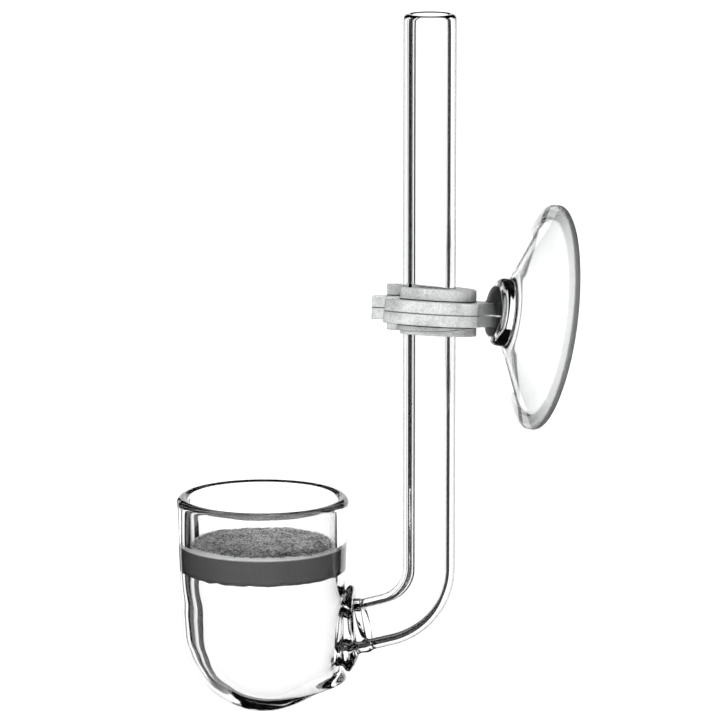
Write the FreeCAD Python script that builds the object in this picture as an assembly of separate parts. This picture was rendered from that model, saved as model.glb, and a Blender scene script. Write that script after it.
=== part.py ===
"""Glass carbon dioxide diffuser for an aquarium, with its clip and suction cup.

Millimetres. +Z runs up the stem, the bowl stands toward -X and the suction cup toward +X.
The glass is the same on both sides of its own XZ plane; the clip and the cup stand turned
from it about the stem. Everything is drawn with the stem's axis at y = 0 and the cup in the
XZ plane, and save() puts it in its place.
"""
import FreeCAD
import Part
import math

V = FreeCAD.Vector
Y = V(0, 1, 0)
Z = V(0, 0, 1)

# ---- driving dimensions ----
STEM_X = 5.741         # stem axis
STEM_Y = -3.378
CLIP_TURN = 18.7       # the clip and cup, turned about the stem from the bowl's plane
STEM_R = 3.00          # 6 mm tube, taken by a 4/6 mm hose
SEAT_LEN = 14.0        # straight seat for the hose
BENT_R = 2.985         # the drawn tube tapers a little toward the bend
BORE_R = 2.05
STEM_TOP = 80.84
LIP_R = 0.55           # fire-polished edge of the tube
BEND_Z = 17.13         # the bend starts here
BEND_R = 6.40
BEND_DEG = 75.0
RUN_LEN = 5.31         # straight run into the bowl wall

BOWL_X = STEM_X - 19.13
RIM_Z = 25.10
RIM_R = 9.22           # middle of the rounded rim
RIM_ROUND = 0.64
# outside and inside of the bowl as (radius, height)
BOWL_OUT = [(0.0, 0.0), (2.93, 0.42), (5.16, 1.52), (6.88, 3.19), (8.10, 4.96), (8.86, 6.78),
            (9.24, 8.90), (9.41, 13.05), (9.57, 16.5), (9.68, 19.8), (9.73, 23.0), (9.86, 24.46)]
BOWL_IN = [(0.0, 1.55), (2.6, 1.92), (4.45, 3.0), (5.77, 4.5), (6.68, 6.1), (7.25, 7.7),
           (7.64, 9.6), (8.02, 13.05), (8.25, 16.5)]
BOWL_IN_TOP = [(8.25, 19.8), (8.33, 22.6), (8.58, 24.46)]
DISC_R = 8.25          # sintered disc, fused into the straight part of the bore
DISC_Z0 = 16.50
DISC_Z1 = 19.80

BEAD_R = 4.90          # glass gathered round the joint, half its height
BEAD_NARROW = 0.76     # its width for its height
BEAD_LEN = 1.55
BEAD_RISE = 0.35       # its middle stands this much over the stem's
RING_R = 3.55          # second, smaller gather where the stem starts
RING_LEN = 1.40
RING_OUT = 2.15        # from the wall to the middle of the second gather

CLIP_Z = 46.94         # middle of the clip on the stem
LEAN_CUP = 5.1         # the soft clip has sagged toward the cup
LEAN_SIDE = 6.2        # and to one side
BUSH_BORE_R = 3.04     # running fit on the stem
BUSH_NECK_R = 4.00
COLLAR_R = 5.35
GROOVE_H = 2.80
BUSH_TOP = 2.80        # over the middle of the clip
BUSH_BOTTOM = 2.50     # under the middle of the clip
MOUTH_HALF = 2.90      # half the width of the mouth the stem snaps in through
BUSH_MOUTH_HALF = 3.25
FLANGE_BORE_R = 4.06
FLANGE_R = 6.75
FLANGE_H = 2.70
NECK_HALF = 1.70       # half the width of the neck that reaches to the cup
NECK_END = 7.35        # distance of the neck's end from the stem axis

CUP_Z = 47.84          # where the cup's axis crosses the stem's
CUP_DROOP = 8.9        # the cup's axis points this much below level
WASHER_R = 2.90        # disc at the neck's end, bearing on the hub
WASHER_LEN = 0.40
PIN_R = 1.30
KNOB_R = 2.00
PLAY = 0.06            # all round the knob in its socket
HUB_R = 3.90
HUB_ROUND = 0.60       # rounded edge of the hub's back face
# distances along the cup's axis, from the stem's axis
HUB_0 = 7.80           # back face of the hub
KNOB_0 = 8.25          # shoulder of the knob that holds the cup on
KNOB_1 = 8.65
KNOB_TIP = 8.90
BELL_0 = 9.15          # the bell leaves the hub here
HUB_1 = 9.45           # floor of the bell
CUP_R = 12.90
LIP_0 = 13.10          # the lip is a thicker band round the bell's edge
CUP_END = 13.85        # sealing face of the lip
LIP_LAND = 0.80

STEM_END = V(STEM_X - BEND_R * (1 - math.cos(math.radians(BEND_DEG)))
             - RUN_LEN * math.sin(math.radians(BEND_DEG)), 0,
             BEND_Z - BEND_R * math.sin(math.radians(BEND_DEG))
             - RUN_LEN * math.cos(math.radians(BEND_DEG)))
RUN_DIR = V(-math.sin(math.radians(BEND_DEG)), 0, -math.cos(math.radians(BEND_DEG)))
CLIP_MID = V(STEM_X, 0, CLIP_Z)


# ---- helpers ----
def save(shape, node, turned_with_clip=False):
    shape = shape.copy()
    if turned_with_clip:
        shape.rotate(V(STEM_X, 0, 0), Z, CLIP_TURN)
    shape.translate(V(0, STEM_Y, 0))
    shape.exportStep("parts/" + node + ".step")
    print(node, round(shape.Volume, 2), shape.isValid())


def line(a, b):
    return Part.LineSegment(a, b).toShape()


def curve(points, first=None, last=None):
    """A smooth curve through points (radius, height) of the XZ half plane."""
    spline = Part.BSplineCurve()
    ends = {}
    if first:
        ends["InitialTangent"] = V(first[0], 0, first[1])
    if last:
        ends["FinalTangent"] = V(last[0], 0, last[1])
    spline.interpolate(Points=[V(r, 0, z) for r, z in points], **ends)
    return spline.toShape()


def arc(a, mid, b):
    return Part.Arc(V(a[0], 0, a[1]), V(mid[0], 0, mid[1]), V(b[0], 0, b[1])).toShape()


def turned(edges):
    """Revolve a closed half profile (radius, height) about Z."""
    return Part.Face(Part.Wire(edges)).revolve(V(0, 0, 0), Z, 360)


def polygon(points):
    pts = [V(r, 0, z) for r, z in points]
    return [line(a, b) for a, b in zip(pts, pts[1:] + pts[:1])]


def along(shape, point, direction):
    """Carry a shape drawn about Z to an axis through point."""
    turn = FreeCAD.Rotation(Z, direction)
    shape = shape.copy()
    shape.Placement = FreeCAD.Placement(point, turn)
    return shape


def mouth(half_width):
    """The slot cut through to the bore, on the side away from the cup."""
    return Part.makeBox(12, 2 * half_width, 12, V(STEM_X - 12, -half_width, CLIP_Z - 6))


# ---- bowl: blown glass cup with a fire-polished rim ----
rim_out, rim_in = (RIM_R + RIM_ROUND, RIM_Z - RIM_ROUND), (RIM_R - RIM_ROUND, RIM_Z - RIM_ROUND)
outside = curve(BOWL_OUT, (1, 0), (0.03, 1))
bowl_edges = [outside, arc(rim_out, (RIM_R, RIM_Z), rim_in),
              curve(BOWL_IN_TOP[::-1], (0, -1), (0, -1)),
              line(V(DISC_R, 0, DISC_Z1), V(DISC_R, 0, DISC_Z0)),
              curve(BOWL_IN[::-1], (0, -1), (-1, 0)),
              line(V(0, 0, BOWL_IN[0][1]), V(0, 0, 0))]
bowl = turned(bowl_edges)
bowl.translate(V(BOWL_X, 0, 0))
filled = turned([outside, line(V(*[rim_out[0], 0, rim_out[1]]), V(0, 0, rim_out[1])),
                 line(V(0, 0, rim_out[1]), V(0, 0, 0))])
filled.translate(V(BOWL_X, 0, 0))
gas_way = along(Part.makeCylinder(BORE_R, 4.0, V(0, 0, -1.0)), STEM_END, RUN_DIR)
bowl = bowl.cut(gas_way)
save(bowl, "bowl")

# ---- sintered disc ----
disc = Part.makeCylinder(DISC_R, DISC_Z1 - DISC_Z0, V(BOWL_X, 0, DISC_Z0))
save(disc, "frit_disc")

# ---- stem: one bent tube, its top edge rounded by the flame ----
half = math.radians(BEND_DEG / 2)
bend_start = V(STEM_X, 0, BEND_Z)
bend_mid = V(STEM_X - BEND_R * (1 - math.cos(half)), 0, BEND_Z - BEND_R * math.sin(half))
bend_end = STEM_END - RUN_DIR * RUN_LEN
path = Part.Wire([Part.Arc(bend_start, bend_mid, bend_end).toShape(),
                  line(bend_end, STEM_END + RUN_DIR * 1.2)])


def swept(radius):
    return path.makePipeShell([Part.Wire(Part.makeCircle(radius, bend_start, Z))], True, False)


shoulder = STEM_TOP - LIP_R
mouth_r = BORE_R + LIP_R * 0.6
upright = turned([line(V(BORE_R, 0, BEND_Z), V(BENT_R, 0, BEND_Z)),
                  line(V(BENT_R, 0, BEND_Z), V(STEM_R, 0, shoulder - SEAT_LEN)),
                  line(V(STEM_R, 0, shoulder - SEAT_LEN), V(STEM_R, 0, shoulder)),
                  arc((STEM_R, shoulder), (STEM_R - LIP_R * 0.293, shoulder + LIP_R * 0.707),
                      (STEM_R - LIP_R, STEM_TOP)),
                  line(V(STEM_R - LIP_R, 0, STEM_TOP), V(mouth_r, 0, STEM_TOP)),
                  arc((mouth_r, STEM_TOP), (BORE_R + 0.1, STEM_TOP - LIP_R * 0.34), (BORE_R, shoulder)),
                  line(V(BORE_R, 0, shoulder), V(BORE_R, 0, BEND_Z))])
upright.translate(V(STEM_X, 0, 0))
stem = upright.fuse(swept(BENT_R).cut(swept(BORE_R))).cut(filled)
save(stem.Solids[0], "stem")

# ---- two gathers of glass at the joint ----
bead_half = turned([line(V(0, 0, -0.9), V(BEAD_R - 0.5, 0, -0.9)),
                    arc((BEAD_R - 0.5, -0.9), (BEAD_R, 0.35), (BEAD_R - 0.7, BEAD_LEN - 0.45)),
                    arc((BEAD_R - 0.7, BEAD_LEN - 0.45), (STEM_R + 0.75, BEAD_LEN - 0.1),
                        (STEM_R + 0.2, BEAD_LEN - 0.25)),
                    line(V(STEM_R + 0.2, 0, BEAD_LEN - 0.25), V(0, 0, BEAD_LEN - 0.25)),
                    line(V(0, 0, BEAD_LEN - 0.25), V(0, 0, -0.9))])
tube_core = along(Part.makeCylinder(BENT_R, 8.0, V(0, 0, -2.0)), STEM_END, RUN_DIR * -1)
narrow = FreeCAD.Matrix()
narrow.scale(V(1, BEAD_NARROW, 1))
bead_whole = along(bead_half, V(0, 0, 0), V(1, 0, 0)).transformGeometry(narrow)
bead_whole.translate(V(STEM_END.x, 0, STEM_END.z + BEAD_RISE))
bead = bead_whole.cut(filled).cut(tube_core)
save(bead.Solids[0], "weld_bead")

gather = turned([line(V(BENT_R, 0, -RING_LEN / 2), V(BENT_R + 0.15, 0, -RING_LEN / 2)),
                 arc((BENT_R + 0.15, -RING_LEN / 2), (RING_R, 0), (BENT_R + 0.15, RING_LEN / 2)),
                 line(V(BENT_R + 0.15, 0, RING_LEN / 2), V(BENT_R, 0, RING_LEN / 2)),
                 line(V(BENT_R, 0, RING_LEN / 2), V(BENT_R, 0, -RING_LEN / 2))])
ring = along(gather, STEM_END - RUN_DIR * RING_OUT, RUN_DIR * -1).cut(bead_whole)
save(ring.Solids[0], "weld_ring")

# ---- split bush: two collars with a groove between them ----
lean = FreeCAD.Rotation(Z, V(math.tan(math.radians(LEAN_CUP)), math.tan(math.radians(LEAN_SIDE)), 1))
slab = Part.makeBox(40, 40, BUSH_TOP + BUSH_BOTTOM, V(-20, -20, -BUSH_BOTTOM))
slab.Placement = FreeCAD.Placement(CLIP_MID, lean)
bush = Part.makeCylinder(COLLAR_R, 12, V(STEM_X, 0, CLIP_Z - 6)).common(slab)
groove = Part.makeCylinder(COLLAR_R + 1, GROOVE_H, V(STEM_X, 0, CLIP_Z - GROOVE_H / 2))
groove = groove.cut(Part.makeCylinder(BUSH_NECK_R, GROOVE_H, V(STEM_X, 0, CLIP_Z - GROOVE_H / 2)))
bush = bush.cut(groove).cut(Part.makeCylinder(BUSH_BORE_R, 12, V(STEM_X, 0, CLIP_Z - 6)))
bush = bush.cut(mouth(BUSH_MOUTH_HALF))
save(bush, "clip_bush", turned_with_clip=True)

# ---- clip ring: leaning flange, neck and knob in one soft moulding ----
cup_dir = V(math.cos(math.radians(CUP_DROOP)), 0, -math.sin(math.radians(CUP_DROOP)))
tangent = math.acos((FLANGE_R - NECK_HALF) / (FLANGE_R + 1.2))
touch = V(FLANGE_R * math.cos(tangent), FLANGE_R * math.sin(tangent), 0)
outline = Part.Face(Part.Wire([
    Part.Arc(touch, V(-FLANGE_R, 0, 0), V(touch.x, -touch.y, 0)).toShape(),
    Part.Arc(V(touch.x, -touch.y, 0), V(touch.x + 1.75, -NECK_HALF - 1.0, 0),
             V(NECK_END, -NECK_HALF, 0)).toShape(),
    line(V(NECK_END, -NECK_HALF, 0), V(NECK_END, NECK_HALF, 0)),
    Part.Arc(V(NECK_END, NECK_HALF, 0), V(touch.x + 1.75, NECK_HALF + 1.0, 0), touch).toShape()]))
flange = outline.extrude(V(0, 0, FLANGE_H))
flange.translate(V(0, 0, -FLANGE_H / 2))
flange.Placement = FreeCAD.Placement(CLIP_MID, lean).multiply(flange.Placement)
room = Part.makeCylinder(COLLAR_R + 0.08, 4, V(STEM_X, 0, CLIP_Z + FLANGE_H / 2))
flange = flange.cut(room)
room.translate(V(0, 0, -FLANGE_H - 4))
flange = flange.cut(room)
seat = Part.makeCylinder(COLLAR_R, FLANGE_H, V(STEM_X, 0, CLIP_Z - FLANGE_H / 2))
flange = flange.fuse(seat).cut(Part.makeCylinder(FLANGE_BORE_R, 12, V(STEM_X, 0, CLIP_Z - 6)))
flange = flange.cut(mouth(MOUTH_HALF))
washer_end = HUB_0 - 0.05
knob = turned(polygon([(0, NECK_END - 0.6), (NECK_HALF - 0.5, NECK_END - 0.6),
                       (WASHER_R, washer_end - WASHER_LEN), (WASHER_R, washer_end),
                       (PIN_R, washer_end), (PIN_R, KNOB_0), (KNOB_R, KNOB_0), (KNOB_R, KNOB_1),
                       (1.4, KNOB_TIP), (0, KNOB_TIP)]))
knob = along(knob, V(STEM_X, 0, CUP_Z), cup_dir)
clip_ring = flange.fuse(knob).removeSplitter()
save(clip_ring, "clip_ring", turned_with_clip=True)

# ---- suction cup: hub with a socket, thin bell, flat lip ----
socket = [(PIN_R + PLAY, HUB_0), (PIN_R + PLAY, KNOB_0 - PLAY), (KNOB_R + PLAY, KNOB_0 - PLAY),
          (KNOB_R + PLAY, KNOB_1 + PLAY), (1.4 + PLAY, KNOB_TIP + PLAY), (0, KNOB_TIP + PLAY)]
BELL_OUT = [(HUB_R, BELL_0), (5.2, 9.75), (7.0, 10.58), (9.0, 11.50), (11.0, 12.42), (12.5, 12.99)]
BELL_IN = [(0.0, HUB_1), (3.1, 9.50), (4.1, 9.78), (5.2, 10.28), (7.0, 11.11), (9.0, 12.03), (11.0, 12.96),
           (CUP_R - LIP_LAND, CUP_END)]
flat = [V(r, 0, z) for r, z in socket]
round_mid = HUB_ROUND * (1 - math.sqrt(0.5))
cup_edges = [line(a, b) for a, b in zip(flat, flat[1:])]
cup_edges += [line(flat[-1], V(0, 0, HUB_1)), curve(BELL_IN, (1, 0)),
              line(V(CUP_R - LIP_LAND, 0, CUP_END), V(CUP_R, 0, CUP_END)),
              line(V(CUP_R, 0, CUP_END), V(CUP_R, 0, LIP_0)),
              line(V(CUP_R, 0, LIP_0), V(BELL_OUT[-1][0], 0, BELL_OUT[-1][1])),
              curve(BELL_OUT[::-1]),
              line(V(HUB_R, 0, BELL_0), V(HUB_R, 0, HUB_0 + HUB_ROUND)),
              arc((HUB_R, HUB_0 + HUB_ROUND), (HUB_R - round_mid, HUB_0 + round_mid),
                  (HUB_R - HUB_ROUND, HUB_0)),
              line(V(HUB_R - HUB_ROUND, 0, HUB_0), flat[0])]
cup = along(turned(cup_edges), V(STEM_X, 0, CUP_Z), cup_dir)
save(cup, "suction_cup", turned_with_clip=True)
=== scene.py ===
import math

import bmesh
import bpy
import numpy as np
from mathutils import Matrix, Vector, noise


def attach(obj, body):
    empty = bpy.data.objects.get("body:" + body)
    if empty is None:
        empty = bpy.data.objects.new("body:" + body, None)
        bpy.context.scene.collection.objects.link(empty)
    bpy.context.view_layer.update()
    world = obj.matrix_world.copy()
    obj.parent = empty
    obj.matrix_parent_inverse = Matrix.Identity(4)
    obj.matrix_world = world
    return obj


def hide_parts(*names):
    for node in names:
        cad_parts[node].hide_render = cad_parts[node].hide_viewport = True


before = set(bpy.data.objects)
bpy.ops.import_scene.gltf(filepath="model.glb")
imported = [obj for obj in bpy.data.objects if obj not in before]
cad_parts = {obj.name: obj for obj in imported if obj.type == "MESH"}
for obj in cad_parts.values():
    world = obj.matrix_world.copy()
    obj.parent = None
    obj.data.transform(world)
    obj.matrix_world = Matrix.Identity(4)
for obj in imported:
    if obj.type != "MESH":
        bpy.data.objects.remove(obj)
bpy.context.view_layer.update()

MM = 0.001


# ---- Blown and welded glass --------------------------------------------------
# Borosilicate lamp work in one melted body: a cup with a round bottom and a fire-polished rim,
# a bent 6 mm tube, and the gathers of glass where the tube was welded to the cup's wall. Melted
# glass has no surface left inside a weld, so the four are one skin here.
def linear(hex_colour):
    """sRGB hex to linear RGBA."""
    parts = [int(hex_colour[i:i + 2], 16) / 255 for i in (0, 2, 4)]
    return [c / 12.92 if c <= 0.04045 else ((c + 0.055) / 1.055) ** 2.4 for c in parts] + [1.0]


def add_node(tree, kind, links=None, **settings):
    """Add one node, set its properties, and give its inputs sockets to follow or values."""
    node = tree.nodes.new(kind)
    for name, value in settings.items():
        setattr(node, name, value)
    for name, value in (links or {}).items():
        if isinstance(value, bpy.types.NodeSocket):
            tree.links.new(value, node.inputs[name])
        else:
            node.inputs[name].default_value = value
    return node


def new_material(name):
    """An empty material and its node tree."""
    material = bpy.data.materials.new(name)
    material.use_nodes = True
    material.node_tree.nodes.clear()
    return material, material.node_tree


def finish_material(tree, shader):
    """Put the finished surface on the material's output."""
    add_node(tree, "ShaderNodeOutputMaterial", {"Surface": shader.outputs[0]})


def smooth_line(points, per_span):
    """Points on a smooth curve through the given ones (Catmull-Rom on chord lengths)."""
    p = np.array(points, float)
    p = np.vstack([2 * p[0] - p[1], p, 2 * p[-1] - p[-2]])
    t = np.concatenate([[0], np.cumsum(np.sqrt(np.linalg.norm(np.diff(p, axis=0), axis=1)))])
    out = []
    for i in range(1, len(p) - 2):
        for s in np.linspace(t[i], t[i + 1], per_span, endpoint=False):
            a = [(t[i + j] - s) / (t[i + j] - t[i + j - 1]) for j in (0, 1, 2)]
            l0 = a[0] * p[i - 1] + (1 - a[0]) * p[i]
            l1 = a[1] * p[i] + (1 - a[1]) * p[i + 1]
            l2 = a[2] * p[i + 1] + (1 - a[2]) * p[i + 2]
            b0 = ((t[i + 1] - s) * l0 + (s - t[i - 1]) * l1) / (t[i + 1] - t[i - 1])
            b1 = ((t[i + 2] - s) * l1 + (s - t[i]) * l2) / (t[i + 2] - t[i])
            out.append(((t[i + 1] - s) * b0 + (s - t[i]) * b1) / (t[i + 1] - t[i]))
    out.append(p[-2])
    return [tuple(q) for q in out]


# The stem's axis, and how far the clip and cup stand turned about it from the bowl's plane.
STEM_X, STEM_Y, CLIP_TURN = 5.741, -3.378, math.radians(18.7)


def skin(name, rings, turned=0.0):
    """Skin rings of points in mm, drawn with the stem's axis on z. A ring of one point closes that end."""
    bm = bmesh.new()
    rows = [[bm.verts.new(Vector(q) * MM) for q in ring] for ring in rings]
    for low, high in zip(rows, rows[1:]):
        for k in range(max(len(low), len(high))):
            a, b = low[k % len(low)], low[(k + 1) % len(low)]
            c, d = high[(k + 1) % len(high)], high[k % len(high)]
            four = (a, b, c, d)
            bm.faces.new([v for i, v in enumerate(four) if v not in four[:i]])
    bmesh.ops.recalc_face_normals(bm, faces=bm.faces)
    mesh = bpy.data.meshes.new(name)
    bm.to_mesh(mesh)
    bm.free()
    mesh.transform(Matrix.Translation(Vector((STEM_X, STEM_Y, 0)) * MM) @ Matrix.Rotation(turned, 4, "Z"))
    mesh.polygons.foreach_set("use_smooth", [True] * len(mesh.polygons))
    piece = bpy.data.objects.new(name, mesh)
    bpy.context.scene.collection.objects.link(piece)
    return piece


# The cup, as rows of radius and height: up the outside, over the rim's bead, down the inside.
BOWL_X = -19.13                     # the cup's axis, from the stem's
BOWL_SIDES = 192
PER_SPAN = 6
bowl_outside = [(0.0, 0.0), (1.5, 0.10), (2.93, 0.42), (5.16, 1.52), (6.88, 3.19), (8.10, 4.96),
                (8.86, 6.78), (9.24, 8.90), (9.41, 13.05), (9.57, 16.5), (9.68, 19.8), (9.72, 22.6),
                (9.77, 23.6), (9.85, 24.3)]
RIM_R, RIM_HALF, RIM_TOP = 9.20, 0.67, 25.10
RIM_ENDS = 0.1                      # radians of the bead left to the wall on either side
bowl_rim = [(RIM_R + RIM_HALF * math.cos(a), RIM_TOP - RIM_HALF * (1 - math.sin(a)))
            for a in np.linspace(RIM_ENDS, math.pi - RIM_ENDS, 15)]
bowl_inside = [(8.51, 24.3), (8.43, 23.6), (8.37, 22.6), (8.31, 19.8), (8.25, 16.5), (8.56, 13.05),
               (8.56, 9.6), (8.36, 7.7), (7.82, 6.0), (6.80, 4.3), (5.25, 2.72), (3.4, 1.62),
               (1.7, 1.12), (0.0, 0.98)]

# While hot the wall sagged to a heel under the joint; its inside followed by about two thirds, and
# below the disc the hollow lies nearer to that side, so the wall there is thin.
HEEL, HEEL_Z, HEEL_WIDE, HEEL_TURN = 2.3, 3.6, 1.35, 0.62
HEEL_INSIDE, HEEL_FADES = 0.68, 5.0             # the inside's share, and the radius it fades within
SHIFT, SHIFT_FROM, SHIFT_TO = 0.40, 16.4, 12.0
WAVE_OUTSIDE, WAVE_INSIDE, WAVE_FLOOR, WAVE_FADES = 0.04, 0.03, 0.08, 3.0    # blown glass is never even


def bowl_point(r, z, angle, inside):
    """A point of the cup's wall, with the sag and waves of hand work."""
    round_x, round_y = math.cos(angle), math.sin(angle)
    sag = HEEL * math.exp(-((z - HEEL_Z) / HEEL_WIDE) ** 2) * math.exp(-(angle / HEEL_TURN) ** 2)
    wave = WAVE_OUTSIDE * noise.noise(Vector((round_x, round_y, z * 0.11)) * 1.6)
    middle = BOWL_X
    if inside:
        below = min(1.0, max(0.0, (SHIFT_FROM - z) / (SHIFT_FROM - SHIFT_TO)))
        middle += SHIFT * below * below * (3 - 2 * below)
        sag *= HEEL_INSIDE
        wave = WAVE_INSIDE * noise.noise(Vector((round_x, round_y, z * 0.1 + 7)))
        z += WAVE_FLOOR * noise.noise(Vector((r * round_x * 0.3, r * round_y * 0.3, 4.0)))
    r = r + sag * min(1.0, r / HEEL_FADES) + wave * min(1.0, r / WAVE_FADES)
    return middle + r * round_x, r * round_y, z


def bowl_ring(r, z, inside):
    """One ring of the wall, or a single point on the axis."""
    count = BOWL_SIDES if r > 1e-6 else 1
    return [bowl_point(r, z, math.remainder(2 * math.pi * k / BOWL_SIDES, 2 * math.pi), inside)
            for k in range(count)]


inside_line = smooth_line(bowl_inside, PER_SPAN)
bowl_line = [(r, z, False) for r, z in smooth_line(bowl_outside, PER_SPAN) + bowl_rim]
bowl_line += [(r, z, True) for r, z in inside_line]
glassware = skin("glass_body", [bowl_ring(*row) for row in bowl_line])

# The tube: straight down, round the bend, and along a short run to the wall.
STEM_TOP, LIP_R = 80.84, 0.55
TUBE_R, BORE_R = 2.995, 2.05
BEND_Z, BEND_R, BEND = 17.13, 6.40, math.radians(75.0)
RUN_LEN = 5.31
TUBE_SIDES = 128
arc_end = Vector((BEND_R * (math.cos(BEND) - 1), 0, BEND_Z - BEND_R * math.sin(BEND)))
run_dir = Vector((-math.sin(BEND), 0, -math.cos(BEND)))
straight, bend_len = STEM_TOP - BEND_Z, BEND_R * BEND
stem_len = straight + bend_len + RUN_LEN


def stem_ring(s, r, narrow=1.0, upright=0.0):
    """A ring round the tube's middle line, s mm down from its top. Narrow is its width for its height;
    upright turns it from square with the tube (0) to vertical, as the wall is (1)."""
    if s <= straight:
        centre, ahead = Vector((0, 0, STEM_TOP - s)), Vector((0, 0, -1))
    elif s <= straight + bend_len:
        a = (s - straight) / BEND_R
        centre = Vector((BEND_R * (math.cos(a) - 1), 0, BEND_Z - BEND_R * math.sin(a)))
        ahead = Vector((-math.sin(a), 0, -math.cos(a)))
    else:
        centre, ahead = arc_end + run_dir * (s - straight - bend_len), run_dir
    across = Vector((0, 1, 0))
    up = across.cross(ahead)
    up = up + ahead * (upright * up.x / -ahead.x if ahead.x else 0.0)
    return [tuple(centre + across * (r * narrow * math.cos(a)) + up * (r * math.sin(a)))
            for a in np.linspace(0, 2 * math.pi, TUBE_SIDES, endpoint=False)]


def tube_outline(s):
    """The tube's radius: its top edge is melted round."""
    if s < LIP_R:
        return TUBE_R - LIP_R + math.sqrt(max(0.0, LIP_R ** 2 - (LIP_R - s) ** 2))
    return TUBE_R


lip_steps = [LIP_R * (1 - math.cos(a)) for a in np.linspace(0.02, math.pi / 2, 9)]
bend_steps = list(np.linspace(straight, straight + bend_len, 36))
down = lip_steps + [1.5, 3.0] + list(np.linspace(6, straight - 0.6, 22)) + bend_steps
tube_rings = [[(0, 0, STEM_TOP)]] + [stem_ring(s, tube_outline(s)) for s in down]

# Toward the wall the glass drew up into two gathers: a small ring, then a tall bead against the
# wall. Each row is the distance from the wall, the half height, and the width for the height. The
# rings turn upright as they near the wall, and the last ones lie past it.
PAST_WALL = 1.60
UPRIGHT_FROM, UPRIGHT_OVER = 2.2, 0.9
gathers = smooth_line([(3.3, 2.995, 1.0), (2.95, 3.02, 1.0), (2.6, 3.16, 1.0), (2.2, 3.2, 1.0),
                       (1.88, 3.10, 0.99), (1.70, 3.16, 0.96), (1.52, 3.75, 0.87), (1.26, 4.55, 0.78),
                       (0.86, 4.90, 0.75), (0.50, 4.76, 0.76), (0.22, 4.42, 0.78), (0.0, 4.12, 0.80),
                       (-0.40, 3.98, 0.82), (-PAST_WALL, 3.98, 0.82)], 10)
for out, r, narrow in gathers:
    upright = min(1.0, max(0.0, (UPRIGHT_FROM - out) / UPRIGHT_OVER))
    tube_rings.append(stem_ring(stem_len - out, r, narrow, upright))
tube_rings.append([tuple(arc_end + run_dir * (RUN_LEN + PAST_WALL))])
tube = skin("tube", tube_rings)

# The bore, opened a little at the fire-polished end, and carried on through the cup's wall.
INNER_LIP = 0.35
ABOVE_TOP, INTO_CUP = 0.5, 2.3      # how far the cut runs out at either end


def bore_outline(s):
    """The bore's radius: its top edge is melted round too."""
    return BORE_R + (INNER_LIP - math.sqrt(INNER_LIP ** 2 - (INNER_LIP - s) ** 2) if s < INNER_LIP else 0.0)


bore_steps = [INNER_LIP * (1 - math.cos(a)) for a in np.linspace(0.12, math.pi / 2, 8)]
bore_steps += [2.0, 4.0] + list(np.linspace(8, straight - 0.6, 20)) + bend_steps
bore_steps += list(np.linspace(straight + bend_len + 0.5, stem_len + INTO_CUP, 8))
mouth_ring = [(x, y, STEM_TOP + ABOVE_TOP) for x, y, z in stem_ring(0, bore_outline(0.002))]
bore_rings = [[(0, 0, STEM_TOP + ABOVE_TOP)], mouth_ring]
bore_rings += [stem_ring(s, bore_outline(s)) for s in bore_steps]
bore_rings += [[tuple(arc_end + run_dir * (RUN_LEN + INTO_CUP))]]
bore = skin("bore", bore_rings)


def combine(piece, other, operation):
    """Join another closed solid to the piece, or cut it out, and drop the other."""
    step = piece.modifiers.new(operation.lower(), "BOOLEAN")
    step.operation, step.object, step.solver = operation, other, "EXACT"
    mesh = bpy.data.meshes.new_from_object(piece.evaluated_get(bpy.context.evaluated_depsgraph_get()))
    piece.modifiers.clear()
    piece.data = mesh
    bpy.data.objects.remove(other)


# The tube's end stops in the melted wall, a little short of the cup's inside.
MELTED, MELTED_FADES = 0.16, 2.0
HOLLOW_TOP = 15.0
hollow_line = [(0.0, HOLLOW_TOP)] + [(r, z) for r, z in inside_line if z < HOLLOW_TOP]
hollow = skin("hollow", [bowl_ring(r + MELTED * min(1.0, r / MELTED_FADES), z - MELTED, True)
                         for r, z in hollow_line])
combine(tube, hollow, "DIFFERENCE")
combine(glassware, tube, "UNION")
combine(glassware, bore, "DIFFERENCE")

glassware.data.polygons.foreach_set("use_smooth", [True] * len(glassware.data.polygons))
glassware.data.set_sharp_from_angle(angle=math.radians(42))
glassware.data.name = "glass_body"

# Borosilicate tube glass: colourless, fully clear, its fire-polished surface as smooth as water.
glass, tree = new_material("clear borosilicate glass")
finish_material(tree, add_node(tree, "ShaderNodeBsdfPrincipled", {
    "Base Color": linear("FFFFFF"), "Roughness": 0.0, "IOR": 1.474, "Transmission Weight": 1.0}))
glassware.data.materials.clear()
glassware.data.materials.append(glass)
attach(glassware, "glassware")
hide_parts("bowl", "stem", "weld_bead", "weld_ring")


# ---- Sintered disc -----------------------------------------------------------
# Glass powder fused into a hard porous plate. Its rim is melted into the bowl's wall, so it
# shows through the wall as an even grey band; its open top keeps the grain.
DISC_R = 8.42
DISC_BOTTOM, DISC_TOP = 16.50, 19.75
DISC_SIDES = 220
GRAINY, HUMPED, PITTED = 0.12, 0.22, 0.14       # how far the top is grainy and humped, the underside pitted
disc_line = [(r, DISC_BOTTOM) for r in np.linspace(0.6, 8.1, 10)]
disc_line += [(DISC_R, z) for z in np.linspace(DISC_BOTTOM, DISC_TOP - 0.15, 8)]
disc_line += [(8.30, DISC_TOP), (8.12, DISC_TOP)] + [(r, DISC_TOP) for r in np.linspace(7.9, 0.2, 30)]
disc_rings = [[(BOWL_X, 0, DISC_BOTTOM)]]
for r, z in disc_line:
    ring = []
    for a in np.linspace(0, 2 * math.pi, DISC_SIDES, endpoint=False):
        x, y = r * math.cos(a), r * math.sin(a)
        lift = 0.0
        if z > DISC_TOP - 0.2:
            lift = GRAINY * noise.noise(Vector((x, y, 3.0)) * 1.6)
            lift += HUMPED * noise.noise(Vector((x, y, 9.0)) * 0.3)
        elif z < DISC_BOTTOM + 0.05:
            lift = PITTED * noise.noise(Vector((x, y, z)) * 1.1)
        ring.append((BOWL_X + x, y, z + lift))
    disc_rings.append(ring)
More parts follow.
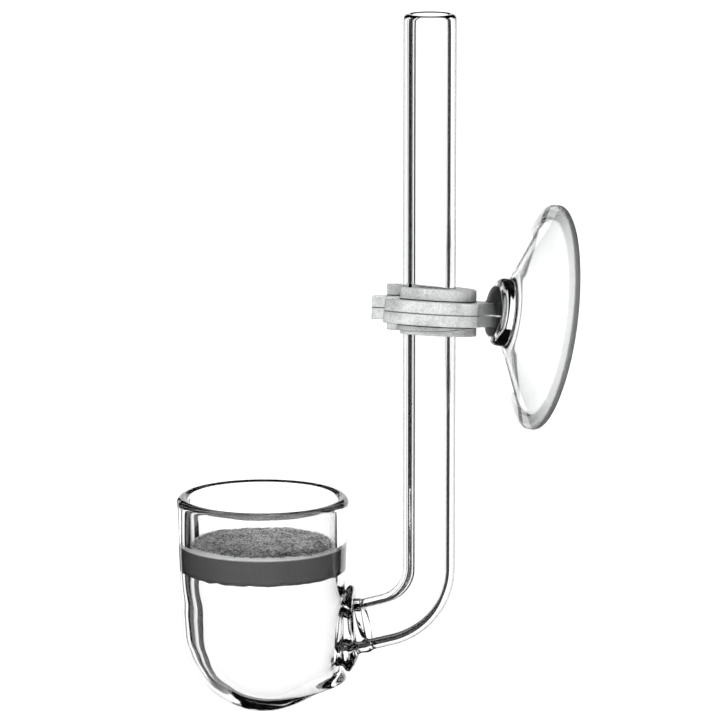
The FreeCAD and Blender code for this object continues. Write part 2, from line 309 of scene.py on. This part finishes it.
disc_rings.append([(BOWL_X, 0, DISC_TOP)])
disc = skin("disc_frit", disc_rings)

# Sintered glass powder, grit about 0.16 mm: each grain turns its own face, so the open top is a
# matt grey full of light and dark specks. The side, melted to the wall, is an even darker grey.
GRIT, FLAKE, CLUMP = 0.16, 0.30, 1.6
frit, tree = new_material("sintered glass powder")
place = add_node(tree, "ShaderNodeTexCoord").outputs["Object"]
grit = add_node(tree, "ShaderNodeTexVoronoi", {"Vector": place, "Scale": 1 / (GRIT * MM)})
cloud = add_node(tree, "ShaderNodeTexNoise", {"Vector": place, "Scale": 1 / (CLUMP * MM), "Detail": 4.0,
                                              "Roughness": 0.7})
flake = add_node(tree, "ShaderNodeTexNoise", {"Vector": place, "Scale": 1 / (FLAKE * MM), "Detail": 2.0})
speck = add_node(tree, "ShaderNodeMix", {"Factor": 0.6, 2: cloud.outputs[0], 3: flake.outputs[0]})
open_face = add_node(tree, "ShaderNodeValToRGB", {"Fac": speck.outputs[0]})
open_face.color_ramp.elements[0].position, open_face.color_ramp.elements[0].color = 0.42, linear("6C6C6C")
open_face.color_ramp.elements[1].position, open_face.color_ramp.elements[1].color = 0.68, linear("F4F4F4")
axis = ((STEM_X + BOWL_X) * MM, STEM_Y * MM, 0)
from_axis = add_node(tree, "ShaderNodeVectorMath", {0: place, 1: axis}, operation="SUBTRACT")
flat = add_node(tree, "ShaderNodeVectorMath", {0: from_axis.outputs[0], 1: (1, 1, 0)}, operation="MULTIPLY")
radius = add_node(tree, "ShaderNodeVectorMath", {0: flat.outputs[0]}, operation="LENGTH")
level = add_node(tree, "ShaderNodeSeparateXYZ", {"Vector": place}).outputs["Z"]
on_top = add_node(tree, "ShaderNodeMapRange", {"Value": level, "From Min": (DISC_TOP - 0.40) * MM,
                                               "From Max": (DISC_TOP - 0.25) * MM})
body_tone = add_node(tree, "ShaderNodeMix", {"Factor": on_top.outputs[0], "A": linear("727272"),
                                             "B": open_face.outputs[0]}, data_type="RGBA")
# A pale line runs round the top edge, uneven where the grains are coarse: partly powder fused glassy to the
# glass, partly a painted highlight where the edge catches the light from behind.
EDGE_RAGGED = 0.9
ragged = add_node(tree, "ShaderNodeMath", {0: cloud.outputs[0], 1: EDGE_RAGGED * MM}, operation="MULTIPLY")
reach = add_node(tree, "ShaderNodeMath", {0: radius.outputs["Value"], 1: ragged.outputs[0]}, operation="ADD")
pale_edge_and_highlight = add_node(tree, "ShaderNodeMapRange", {"Value": reach.outputs[0], "From Min": (DISC_R - 0.02) * MM,
                                                "From Max": (DISC_R + 0.10) * MM})
edge = add_node(tree, "ShaderNodeMath", {0: pale_edge_and_highlight.outputs[0], 1: on_top.outputs[0]}, operation="MULTIPLY")
tone = add_node(tree, "ShaderNodeMix", {"Factor": edge.outputs[0], "A": body_tone.outputs[2],
                                        "B": linear("FFFFFF")}, data_type="RGBA")
rough = add_node(tree, "ShaderNodeBump", {"Height": grit.outputs["Distance"], "Strength": 0.5,
                                          "Distance": 0.05 * MM})
finish_material(tree, add_node(tree, "ShaderNodeBsdfPrincipled", {
    "Base Color": tone.outputs[2], "Roughness": 0.85, "Normal": rough.outputs[0]}))
disc.data.materials.append(frit)

# The open face keeps its loose-looking top layer: single grains sintered on by their corners.
# They are drawn as coarse as they need to be to show.
GRAIN_SIZE, GRAIN_COUNT, GRAINS_WITHIN, GRAIN_SEED = 0.12, 6200, 8.1, 7
grains = bpy.data.node_groups.new("sintered grains", "GeometryNodeTree")
for name, kind, direction in (("Disc", "Geometry", "INPUT"), ("Grain size", "Float", "INPUT"),
                              ("Grains per square metre", "Float", "INPUT"), ("Seed", "Int", "INPUT"),
                              ("Powder", "Material", "INPUT"), ("Disc", "Geometry", "OUTPUT")):
    grains.interface.new_socket(name=name, in_out=direction, socket_type="NodeSocket" + kind)
given = add_node(grains, "NodeGroupInput").outputs
outward = add_node(grains, "GeometryNodeInputNormal").outputs[0]
facing = add_node(grains, "ShaderNodeSeparateXYZ", {"Vector": outward})
upward = add_node(grains, "FunctionNodeCompare", {"A": facing.outputs["Z"], "B": 0.8},
                  operation="GREATER_THAN")
spots = add_node(grains, "GeometryNodeDistributePointsOnFaces", {
    "Mesh": given["Disc"], "Selection": upward.outputs[0], "Density": given["Grains per square metre"],
    "Seed": given["Seed"]})
shape = add_node(grains, "GeometryNodeMeshIcoSphere", {"Radius": given["Grain size"], "Subdivisions": 1})
turn = add_node(grains, "FunctionNodeRandomValue", {"Max": (6.28, 6.28, 6.28), "Seed": given["Seed"]},
                data_type="FLOAT_VECTOR")
size = add_node(grains, "FunctionNodeRandomValue", {2: 0.45, 3: 1.0, "Seed": given["Seed"]},
                data_type="FLOAT")
placed = add_node(grains, "GeometryNodeInstanceOnPoints", {
    "Points": spots.outputs["Points"], "Instance": shape.outputs["Mesh"], "Rotation": turn.outputs[0],
    "Scale": size.outputs[1]})
real = add_node(grains, "GeometryNodeRealizeInstances", {"Geometry": placed.outputs[0]})
both = add_node(grains, "GeometryNodeJoinGeometry", {"Geometry": real.outputs[0]})
grains.links.new(given["Disc"], both.inputs[0])
coated = add_node(grains, "GeometryNodeSetMaterial", {
    "Geometry": both.outputs[0], "Material": given["Powder"]})
add_node(grains, "NodeGroupOutput", {"Disc": coated.outputs[0]})

layer = disc.modifiers.new("grains", "NODES")
layer.node_group = grains
settings = {"Grain size": GRAIN_SIZE * MM, "Seed": GRAIN_SEED, "Powder": frit,
            "Grains per square metre": GRAIN_COUNT / (math.pi * (GRAINS_WITHIN * MM) ** 2)}
for item in grains.interface.items_tree:
    if item.in_out == "INPUT" and item.name in settings:
        layer[item.identifier] = settings[item.name]
mesh = bpy.data.meshes.new_from_object(disc.evaluated_get(bpy.context.evaluated_depsgraph_get()))
disc.modifiers.clear()
disc.data = mesh
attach(disc, "glassware")
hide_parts("frit_disc")


# ---- Clip: split bush and ring -----------------------------------------------
# Two soft mouldings of milky PVC. The bush snaps on the stem through its mouth; the ring sits
# in its groove and carries the neck and the knob for the cup. All their edges are soft.
def soft_copy(node, name, voxel, rounds):
    """The moulded piece with its edges rounded as soft plastic leaves the mould."""
    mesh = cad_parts[node].data.copy()
    bm = bmesh.new()
    bm.from_mesh(mesh)
    bmesh.ops.remove_doubles(bm, verts=bm.verts, dist=1e-6)
    bm.to_mesh(mesh)
    bm.free()
    draft = bpy.data.objects.new(name, mesh)
    bpy.context.scene.collection.objects.link(draft)
    remesh = draft.modifiers.new("even", "REMESH")
    remesh.mode, remesh.voxel_size, remesh.use_smooth_shade = "VOXEL", voxel * MM, True
    relax = draft.modifiers.new("soften", "SMOOTH")
    relax.factor, relax.iterations = 0.5, rounds
    seen = draft.evaluated_get(bpy.context.evaluated_depsgraph_get())
    piece = bpy.data.objects.new(name, bpy.data.meshes.new_from_object(seen))
    piece.data.materials.clear()
    bpy.data.objects.remove(draft)
    bpy.context.scene.collection.objects.link(piece)
    return piece


# Soft PVC, milky with filler and moulded matt: light sinks in and comes out soft. It carries a fine grain
# from the mould and the fine line where the mould's halves met; a dark line of painted shade lies in the gap
# where each collar meets the ring, and toward the neck the colour goes dark.
CLIP_Z = 46.94
LEAN_BACK, LEAN_SIDE = math.radians(5.1), math.radians(6.2)
LEAN = Vector((math.tan(LEAN_BACK), math.tan(LEAN_SIDE), 1)).normalized()
LEAN.rotate(Matrix.Rotation(CLIP_TURN, 3, "Z"))
TO_CUP = Vector((math.cos(CLIP_TURN), math.sin(CLIP_TURN), 0))
STEM = Vector((STEM_X, STEM_Y, 0))
MOULD_GRAIN, CLOUD = 0.22, 3.0
NECK_FROM, NECK_TO = 4.3, 7.2       # from the stem's axis, where the colour goes from milky to dark grey
SEAM_HALF, SEAM_FADES = 0.045, 0.10
GAP_AT, GAP_HALF, GAP_FADES = 1.47, 0.05, 0.09      # above and below the seam
milky, tree = new_material("milky soft PVC")
place = add_node(tree, "ShaderNodeTexCoord").outputs["Object"]
grain = add_node(tree, "ShaderNodeTexNoise", {"Vector": place, "Scale": 1 / (MOULD_GRAIN * MM), "Detail": 3.0,
                                              "Roughness": 0.65})
cloudy = add_node(tree, "ShaderNodeTexNoise", {"Vector": place, "Scale": 1 / (CLOUD * MM), "Detail": 2.0})
mixed = add_node(tree, "ShaderNodeMix", {"Factor": 0.5, 2: cloudy.outputs[0], 3: grain.outputs[0]})
tone = add_node(tree, "ShaderNodeValToRGB", {"Fac": mixed.outputs[0]})
tone.color_ramp.elements[0].position, tone.color_ramp.elements[0].color = 0.34, linear("A9AAAA")
tone.color_ramp.elements[1].position, tone.color_ramp.elements[1].color = 0.60, linear("E4E5E5")
out = add_node(tree, "ShaderNodeVectorMath", {0: place, 1: tuple(TO_CUP)}, operation="DOT_PRODUCT")
toward_neck = add_node(tree, "ShaderNodeMapRange", {
    "Value": out.outputs["Value"], "From Min": (STEM.dot(TO_CUP) + NECK_FROM) * MM,
    "From Max": (STEM.dot(TO_CUP) + NECK_TO) * MM})
darkened_to_neck = add_node(tree, "ShaderNodeMix", {"Factor": toward_neck.outputs[0], "A": tone.outputs[0],
                                          "B": linear("262828")}, data_type="RGBA")
over = add_node(tree, "ShaderNodeVectorMath", {0: place, 1: tuple(LEAN)}, operation="DOT_PRODUCT")
height = add_node(tree, "ShaderNodeMath", {
    0: over.outputs["Value"], 1: (STEM + Vector((0, 0, CLIP_Z))).dot(LEAN) * MM}, operation="SUBTRACT")
apart = add_node(tree, "ShaderNodeMath", {0: height.outputs[0]}, operation="ABSOLUTE")
seam = add_node(tree, "ShaderNodeMapRange", {
    "Value": apart.outputs[0], "From Min": SEAM_HALF * MM, "From Max": SEAM_FADES * MM,
    "To Min": 1.0, "To Max": 0.0})
# Painted shade: a dark line is painted on each collar just past the ring's face, where shade falls in the gap
# between them.
past_ring = add_node(tree, "ShaderNodeMath", {0: apart.outputs[0], 1: GAP_AT * MM}, operation="SUBTRACT")
off_gap = add_node(tree, "ShaderNodeMath", {0: past_ring.outputs[0]}, operation="ABSOLUTE")
painted_gap_shade = add_node(tree, "ShaderNodeMapRange", {
    "Value": off_gap.outputs[0], "From Min": GAP_HALF * MM, "From Max": GAP_FADES * MM,
    "To Min": 1.0, "To Max": 0.0})
seam_tone = add_node(tree, "ShaderNodeMix", {"Factor": toward_neck.outputs[0], "A": linear("6A6C6C"),
                                             "B": linear("E8E9E9")}, data_type="RGBA")
with_painted_gap_shade = add_node(tree, "ShaderNodeMix", {"Factor": painted_gap_shade.outputs[0], "A": darkened_to_neck.outputs[2],
                                          "B": linear("303131")}, data_type="RGBA")
lined = add_node(tree, "ShaderNodeMix", {"Factor": seam.outputs[0], "A": with_painted_gap_shade.outputs[2],
                                         "B": seam_tone.outputs[2]}, data_type="RGBA")
matt = add_node(tree, "ShaderNodeBump", {"Height": grain.outputs[0], "Strength": 0.30, "Distance": 0.06 * MM})
finish_material(tree, add_node(tree, "ShaderNodeBsdfPrincipled", {
    "Base Color": lined.outputs[2], "Roughness": 0.38, "IOR": 1.52, "Subsurface Weight": 1.0,
    "Subsurface Radius": (1.0, 1.0, 1.0), "Subsurface Scale": 0.8 * MM, "Normal": matt.outputs[0]}))

VOXEL, SOFTENING = 0.09, 6
for node, name, body in (("clip_bush", "bush_moulding", "bush"), ("clip_ring", "ring_moulding", "ring")):
    piece = soft_copy(node, name, VOXEL, SOFTENING)
    piece.data.materials.append(milky)
    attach(piece, body)
    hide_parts(node)


# ---- Suction cup -------------------------------------------------------------
# Clear soft PVC, moulded in one piece: a thick hub with a socket for the knob, a bell that thins
# toward its edge, and a flat lip whose sealing face is frosted.
# Every outline row is a radius and a distance from the stem's axis along the cup's drooping axis.
CUP_Z, DROOP = 47.84, math.radians(8.9)
CUP_R, CUP_SIDES, CUP_WAVE = 12.9, 192, 0.05
cup_dir = Vector((math.cos(DROOP), 0, -math.sin(DROOP)))
cup_up = Vector((math.sin(DROOP), 0, math.cos(DROOP)))
BELL_SPAN = 7
bell_back = smooth_line([(12.50, 12.99), (11.0, 12.42), (9.0, 11.50), (7.0, 10.58), (5.2, 9.75),
                         (4.3, 9.33), (3.92, 9.12)], BELL_SPAN)
bell_hollow = smooth_line([(0.0, 9.45), (1.6, 9.46), (3.1, 9.50), (4.1, 9.78), (5.2, 10.28), (7.0, 11.11),
                           (9.0, 12.03), (11.0, 12.96), (12.02, 13.78)], BELL_SPAN)
lip = [(12.12, 13.85), (12.80, 13.85), (12.88, 13.80), (CUP_R, 13.65), (CUP_R, 13.30), (12.87, 13.16),
       (12.78, 13.08)]
hub = [(3.90, 8.95), (3.90, 8.45), (3.86, 8.22), (3.74, 8.01), (3.55, 7.86), (3.30, 7.80), (2.2, 7.80)]
socket = [(1.42, 7.80), (1.36, 7.84), (1.36, 8.18), (2.02, 8.20), (2.06, 8.24), (2.06, 8.68), (2.02, 8.72),
          (1.46, 8.96), (0.0, 8.96)]
cup_line = bell_hollow + lip + bell_back + hub + socket
cup_rings = []
for r, s in cup_line:
    centre = Vector((0, 0, CUP_Z)) + cup_dir * s
    if r < 1e-6:
        cup_rings.append([tuple(centre)])
        continue
    ring = []
    for k in range(CUP_SIDES):
        a = 2 * math.pi * k / CUP_SIDES
        sway = CUP_WAVE * (r / CUP_R) ** 2 * noise.noise(Vector((math.cos(a) * 1.7, math.sin(a) * 1.7, 2.0)))
        q = centre + cup_dir * sway + (Vector((0, 1, 0)) * math.cos(a) + cup_up * math.sin(a)) * r
        ring.append(tuple(q))
    cup_rings.append(ring)
cup = skin("cup_moulding", cup_rings, turned=CLIP_TURN)

# Glossy and clear as it leaves a polished mould. The mould is blasted at the sealing lip, which
# leaves that with a fine frost: a pale grey that only blurs what is behind it.
clear_pvc, tree = new_material("clear soft PVC")
place = add_node(tree, "ShaderNodeTexCoord").outputs["Object"]
along = Matrix.Rotation(CLIP_TURN, 3, "Z") @ cup_dir
origin = Vector((STEM_X, STEM_Y, CUP_Z))
FROST_FROM, FROST_FULL, FROST_GRAIN = 13.10, 13.35, 0.25
POLISHED, BLASTED = 0.03, 0.42
depth = add_node(tree, "ShaderNodeVectorMath", {0: place, 1: tuple(along)}, operation="DOT_PRODUCT")
blast = add_node(tree, "ShaderNodeTexNoise", {"Vector": place, "Scale": 1 / (FROST_GRAIN * MM),
                                              "Detail": 3.0})
lip_reach = {"Value": depth.outputs["Value"], "From Min": (origin.dot(along) + FROST_FROM) * MM,
             "From Max": (origin.dot(along) + FROST_FULL) * MM}
frost = add_node(tree, "ShaderNodeMapRange", {**lip_reach, "To Min": POLISHED, "To Max": BLASTED})
frosting = add_node(tree, "ShaderNodeMapRange", {**lip_reach, "To Min": 0.0, "To Max": 0.7})
pitted = add_node(tree, "ShaderNodeBump", {"Height": blast.outputs[0], "Strength": frosting.outputs[0],
                                           "Distance": 0.06 * MM})
whiteness = add_node(tree, "ShaderNodeMix", {"Factor": frosting.outputs[0], "A": linear("FBFCFC"),
                                             "B": linear("B4B6B6")}, data_type="RGBA")
finish_material(tree, add_node(tree, "ShaderNodeBsdfPrincipled", {
    "Base Color": whiteness.outputs[2], "Roughness": frost.outputs[0], "IOR": 1.52,
    "Transmission Weight": 1.0, "Normal": pitted.outputs[0]}))
cup.data.materials.append(clear_pvc)
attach(cup, "cup")
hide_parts("suction_cup")


# ---- Camera, light and floor -------------------------------------------------
# The part hangs free, as it does on its pane, far above a plain pale floor. A white card and a
# narrow white strip stand behind it and go round with the camera, with darkness on either side, so
# that clear glass shows light with dark edges.
AZIMUTH, ELEVATION, DISTANCE = math.radians(5.8), math.radians(10.7), 0.568
toward_camera = Vector((math.sin(AZIMUTH) * math.cos(ELEVATION), -math.cos(AZIMUTH) * math.cos(ELEVATION),
                        math.sin(ELEVATION)))
sideways = Vector((math.cos(AZIMUTH), math.sin(AZIMUTH), 0))
AIM_Z, AIM_ASIDE = 41.34, 7.87
aim = (STEM + Vector((0, 0, AIM_Z)) - sideways * AIM_ASIDE) * MM
camera = bpy.data.objects.new("camera", bpy.data.cameras.new("camera"))
camera.data.lens, camera.data.sensor_width = 250.0, 36.0
camera.data.clip_start, camera.data.clip_end = 0.01, 20.0
camera.location = aim + toward_camera * DISTANCE
camera.rotation_mode = "QUATERNION"
camera.rotation_quaternion = (-toward_camera).to_track_quat("-Z", "Y")
bpy.context.scene.collection.objects.link(camera)
bpy.context.scene.camera = camera


def stage_sheet(name, width, height, material):
    """A flat sheet that is no part of the object."""
    mesh = bpy.data.meshes.new(name)
    x, y = width / 2, height / 2
    mesh.from_pydata([(-x, -y, 0), (x, -y, 0), (x, y, 0), (-x, y, 0)], [], [(0, 1, 2, 3)])
    mesh.materials.append(material)
    sheet = bpy.data.objects.new(name, mesh)
    bpy.context.scene.collection.objects.link(sheet)
    return sheet


def flagged_light(name, strength, which):
    """Light for rays that have met no matt surface yet (LESS_THAN), or only for those that have."""
    material, tree = new_material(name)
    path = add_node(tree, "ShaderNodeLightPath")
    let_by = add_node(tree, "ShaderNodeMath", {0: path.outputs["Diffuse Depth"], 1: 0.5}, operation=which)
    power = add_node(tree, "ShaderNodeMath", {0: let_by.outputs[0], 1: strength}, operation="MULTIPLY")
    finish_material(tree, add_node(tree, "ShaderNodeEmission", {"Color": linear("FFFFFF"),
                                                                "Strength": power.outputs[0]}))
    material.cycles.emission_sampling = "NONE"
    return material


# The cards, seen straight or through glass; each is given by the angles it spans at the object.
lit = flagged_light("lit white card", 1.25, "LESS_THAN")
CARD_HEIGHT = 0.56
BEHIND = 0.56                       # from the object to the cards
for name, first, last in (("white_card", -16.0, 40.0), ("white_strip", -31.0, -22.0)):
    left, right = (BEHIND * math.tan(math.radians(edge)) for edge in (first, last))
    card = stage_sheet(name, right - left, CARD_HEIGHT, lit)
    card.parent = camera
    card.location = ((left + right) / 2, 0, -DISTANCE - BEHIND)

# Two soft boxes light what is matt, the powder disc and the milky clip, from above and below the
# camera. They are flagged off for what only mirrors or bends light, so that the glass stays clean.
soft = flagged_light("lit soft box", 4.0, "GREATER_THAN")
BOX_AWAY, BOX_HEIGHT = 0.95, 0.7
for name, width, rise, side in (("soft_box_high", 1.3, 42, -20), ("soft_box_low", 0.9, -38, 12)):
    box = stage_sheet(name, width, BOX_HEIGHT, soft)
    box.parent = camera
    toward = Vector((math.sin(math.radians(side)), math.sin(math.radians(rise)), 1)).normalized()
    box.location = toward * BOX_AWAY + Vector((0, 0, -DISTANCE))
    box.rotation_mode = "QUATERNION"
    box.rotation_quaternion = toward.to_track_quat("Z", "Y")

# The floor is far down, because light off a near one shows as grey in the glass's dark edges.
FLOOR_SIZE, FLOOR_Z = 12.0, -6.0
pale, tree = new_material("pale matt floor")
finish_material(tree, add_node(tree, "ShaderNodeBsdfPrincipled", {
    "Base Color": linear("E8E8E6"), "Roughness": 0.9}))
floor = stage_sheet("floor", FLOOR_SIZE, FLOOR_SIZE, pale)
floor.location = (0, 0, FLOOR_Z)

world = bpy.data.worlds.new("studio")
world.use_nodes = True
world.node_tree.nodes["Background"].inputs["Color"].default_value = linear("080808")
bpy.context.scene.world = world
bpy.context.scene.view_settings.view_transform = "Standard"
bpy.context.scene.cycles.max_bounces = 32
bpy.context.scene.cycles.transmission_bounces = 32
bpy.context.scene.cycles.glossy_bounces = 24
